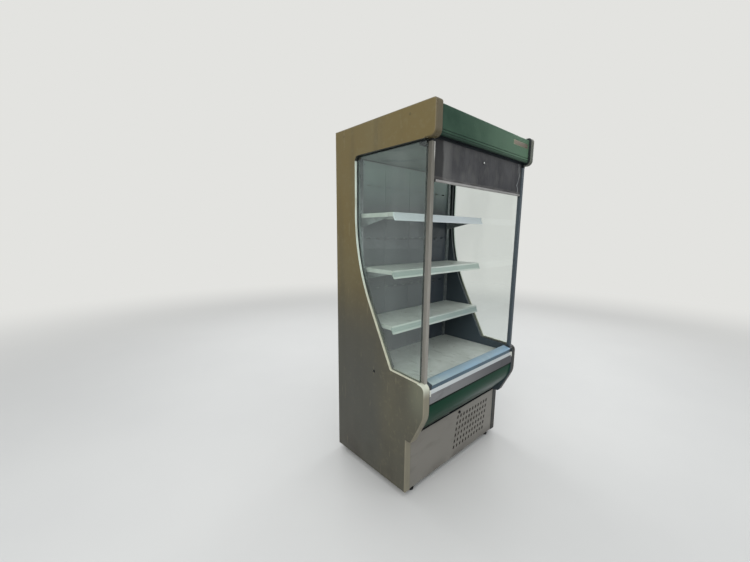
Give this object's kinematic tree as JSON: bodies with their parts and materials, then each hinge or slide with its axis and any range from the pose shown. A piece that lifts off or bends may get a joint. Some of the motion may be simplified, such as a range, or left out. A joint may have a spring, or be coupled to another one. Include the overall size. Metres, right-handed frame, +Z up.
{
  "type": "open refrigerated display cabinet",
  "caption": "Upright open-front chiller cabinet with shelves, glazed ends, a canopy with a pull-down night blind, a curved bumper and a vented plinth.",
  "frame": {"origin": "on the floor under the middle of the cabinet, at the feet's undersides", "axes": "+Z up, the open front faces -Y, +X towards the right end seen from the front"},
  "size_m": [0.938, 0.72, 1.956],
  "materials": {
    "end_panel": "satin",
    "pale_trim": "satin",
    "clear_glass": "polished",
    "black_rubber": "matt",
    "post_metal": "satin",
    "shell_steel": "satin",
    "green_enamel": "satin",
    "strip_metal": "satin",
    "cap_plastic": "satin",
    "inner_steel": "satin",
    "shelf_enamel": "satin",
    "rail_plastic": "satin",
    "zinc_steel": "satin",
    "blind_fabric": "matt",
    "grille_plastic": "matt",
    "plinth_enamel": "satin",
    "dark_steel": "satin"
  },
  "bodies": {
    "root": {"adjustable_feet": "dark_steel", "air_outlet_grille": "grille_plastic", "air_return_grille": "shelf_enamel", "base_back_panel": "shell_steel", "base_frame": "dark_steel", "base_front_panel": "plinth_enamel", "base_lock": "dark_steel", "blind_bottom_bar": "strip_metal", "blind_roller": "zinc_steel", "bumper_strip": "strip_metal", "canopy_ceiling": "shelf_enamel", "canopy_fascia": "green_enamel", "canopy_seal": "black_rubber", "deck_pan": "shelf_enamel", "front_bumper": "green_enamel", "front_cap": "cap_plastic", "inner_back_panel": "inner_steel", "left_end_glass": "clear_glass", "left_end_panel": "end_panel", "left_front_post": "post_metal", "left_glass_gasket": "black_rubber", "left_upright": "zinc_steel", "left_window_trim": "pale_trim", "lower_price_rail": "rail_plastic", "lower_shelf": "shelf_enamel", "lower_shelf_brackets": "zinc_steel", "middle_price_rail": "rail_plastic", "middle_shelf": "shelf_enamel", "middle_shelf_brackets": "zinc_steel", "night_blind": "blind_fabric", "rail_gasket": "black_rubber", "rear_wall": "shell_steel", "right_end_glass": "clear_glass", "right_end_panel": "end_panel", "right_front_post": "post_metal", "right_glass_gasket": "black_rubber", "right_upright": "zinc_steel", "right_window_trim": "pale_trim", "roof_panel": "shell_steel", "side_plugs": "grille_plastic", "upper_price_rail": "rail_plastic", "upper_shelf": "shelf_enamel", "upper_shelf_brackets": "zinc_steel", "well_tank": "shell_steel"}
  },
  "joints": []
}
